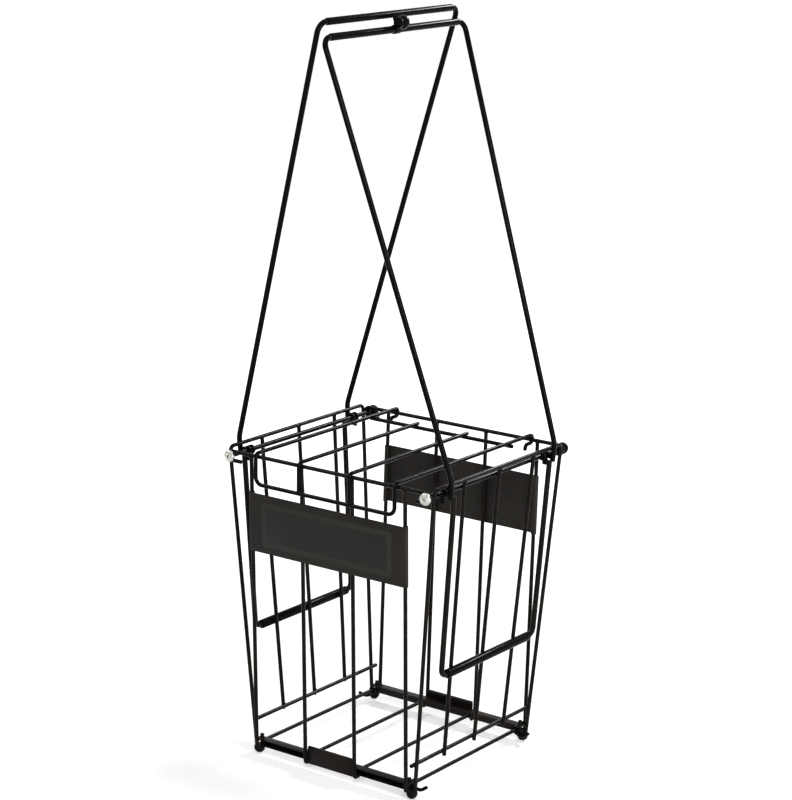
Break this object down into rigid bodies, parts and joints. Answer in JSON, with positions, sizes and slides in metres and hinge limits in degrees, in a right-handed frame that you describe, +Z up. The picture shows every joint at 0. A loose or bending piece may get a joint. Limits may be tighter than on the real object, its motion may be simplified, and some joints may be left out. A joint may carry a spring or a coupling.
{
  "type": "tennis ball hopper",
  "caption": "Black wire basket that picks up tennis balls through rolling floor bars, with a hinged wire lid, folding bails and two tall handles that swing down as legs.",
  "frame": {"origin": "on the floor, under the middle of the whole object's bounding box", "axes": "+Z up; +X to the right and -Y to the front, seen from in front; the handles' pivot rods run along Y and the lid's hinge is at the back, towards +Y"},
  "size_m": [0.2743, 0.2538, 0.7774],
  "materials": {
    "wire": "black enamel over steel wire, semi-gloss",
    "bar": "black enamel over steel wire, a little worn",
    "channel": "black enamel over folded sheet steel",
    "plate": "dark painted sheet, satin",
    "screw": "bright zinc plating",
    "knob": "moulded black plastic",
    "sleeve": "soft black vinyl tube",
    "foot": "moulded black rubber"
  },
  "bodies": {
    "basket": {"front_wall_frame": "wire", "back_wall_frame": "wire", "left_side_frame": "wire", "right_side_frame": "wire", "left_pivot_rod": "wire", "right_pivot_rod": "wire", "front_right_bar_claw": "wire", "back_right_bar_claw": "wire", "back_left_bar_claw": "wire", "front_floor_channel": "channel", "back_floor_channel": "channel", "front_clip_plate": "channel", "back_clip_plate": "channel", "front_label_plate": "plate", "back_label_plate": "plate", "left_pivot_screw": "screw", "left_ball_nut": "knob", "front_left_foot": "foot", "back_left_foot": "foot", "right_pivot_screw": "screw", "right_ball_nut": "knob", "front_right_foot": "foot", "back_right_foot": "foot"},
    "lid": {"lid_frame": "wire"},
    "floor_bar_1": {"floor_bar_1": "bar"},
    "floor_bar_2": {"floor_bar_2": "bar"},
    "floor_bar_3": {"floor_bar_3": "bar"},
    "floor_bar_4": {"floor_bar_4": "bar"},
    "left_handle": {"left_handle_frame": "wire", "left_grip_sleeve": "sleeve"},
    "left_bail": {"left_bail_frame": "wire", "left_bail_sleeve": "sleeve"},
    "right_handle": {"right_handle_frame": "wire", "right_grip_sleeve": "sleeve"},
    "right_bail": {"right_bail_frame": "wire", "right_bail_sleeve": "sleeve"},
    "latch": {"grip_latch": "knob"}
  },
  "joints": [
    {"name": "left_handle_swing", "type": "hinge", "parent": "basket", "child": "left_handle", "pos_m": [-0.124, -0.0035, 0.3244], "axis": [0, -1, 0], "range_deg": [0, 180]},
    {"name": "left_bail_swing", "type": "hinge", "parent": "basket", "child": "left_bail", "pos_m": [-0.124, -0.0035, 0.3244], "axis": [0, 1, 0], "range_deg": [0, 60]},
    {"name": "right_handle_swing", "type": "hinge", "parent": "basket", "child": "right_handle", "pos_m": [0.124, -0.0035, 0.3244], "axis": [0, 1, 0], "range_deg": [0, 180]},
    {"name": "right_bail_swing", "type": "hinge", "parent": "basket", "child": "right_bail", "pos_m": [0.124, -0.0035, 0.3244], "axis": [0, -1, 0], "range_deg": [0, 60]},
    {"name": "lid_swing", "type": "hinge", "parent": "basket", "child": "lid", "pos_m": [0, 0.1135, 0.3292], "axis": [-1, 0, 0], "range_deg": [0, 78]},
    {"name": "latch_turn", "type": "hinge", "parent": "right_handle", "child": "latch", "pos_m": [-0.0081, -0.0035, 0.7593], "axis": [0, 1, 0], "range_deg": [0, 90]},
    {"name": "floor_bar_1_roll", "type": "hinge", "parent": "basket", "child": "floor_bar_1", "pos_m": [-0.096, -0.0035, 0.0134], "axis": [0, 1, 0], "continuous": true},
    {"name": "floor_bar_2_roll", "type": "hinge", "parent": "basket", "child": "floor_bar_2", "pos_m": [-0.032, -0.0035, 0.0134], "axis": [0, 1, 0], "continuous": true},
    {"name": "floor_bar_3_roll", "type": "hinge", "parent": "basket", "child": "floor_bar_3", "pos_m": [0.032, -0.0035, 0.0134], "axis": [0, 1, 0], "continuous": true},
    {"name": "floor_bar_4_roll", "type": "hinge", "parent": "basket", "child": "floor_bar_4", "pos_m": [0.096, -0.0035, 0.0134], "axis": [0, 1, 0], "continuous": true}
  ]
}
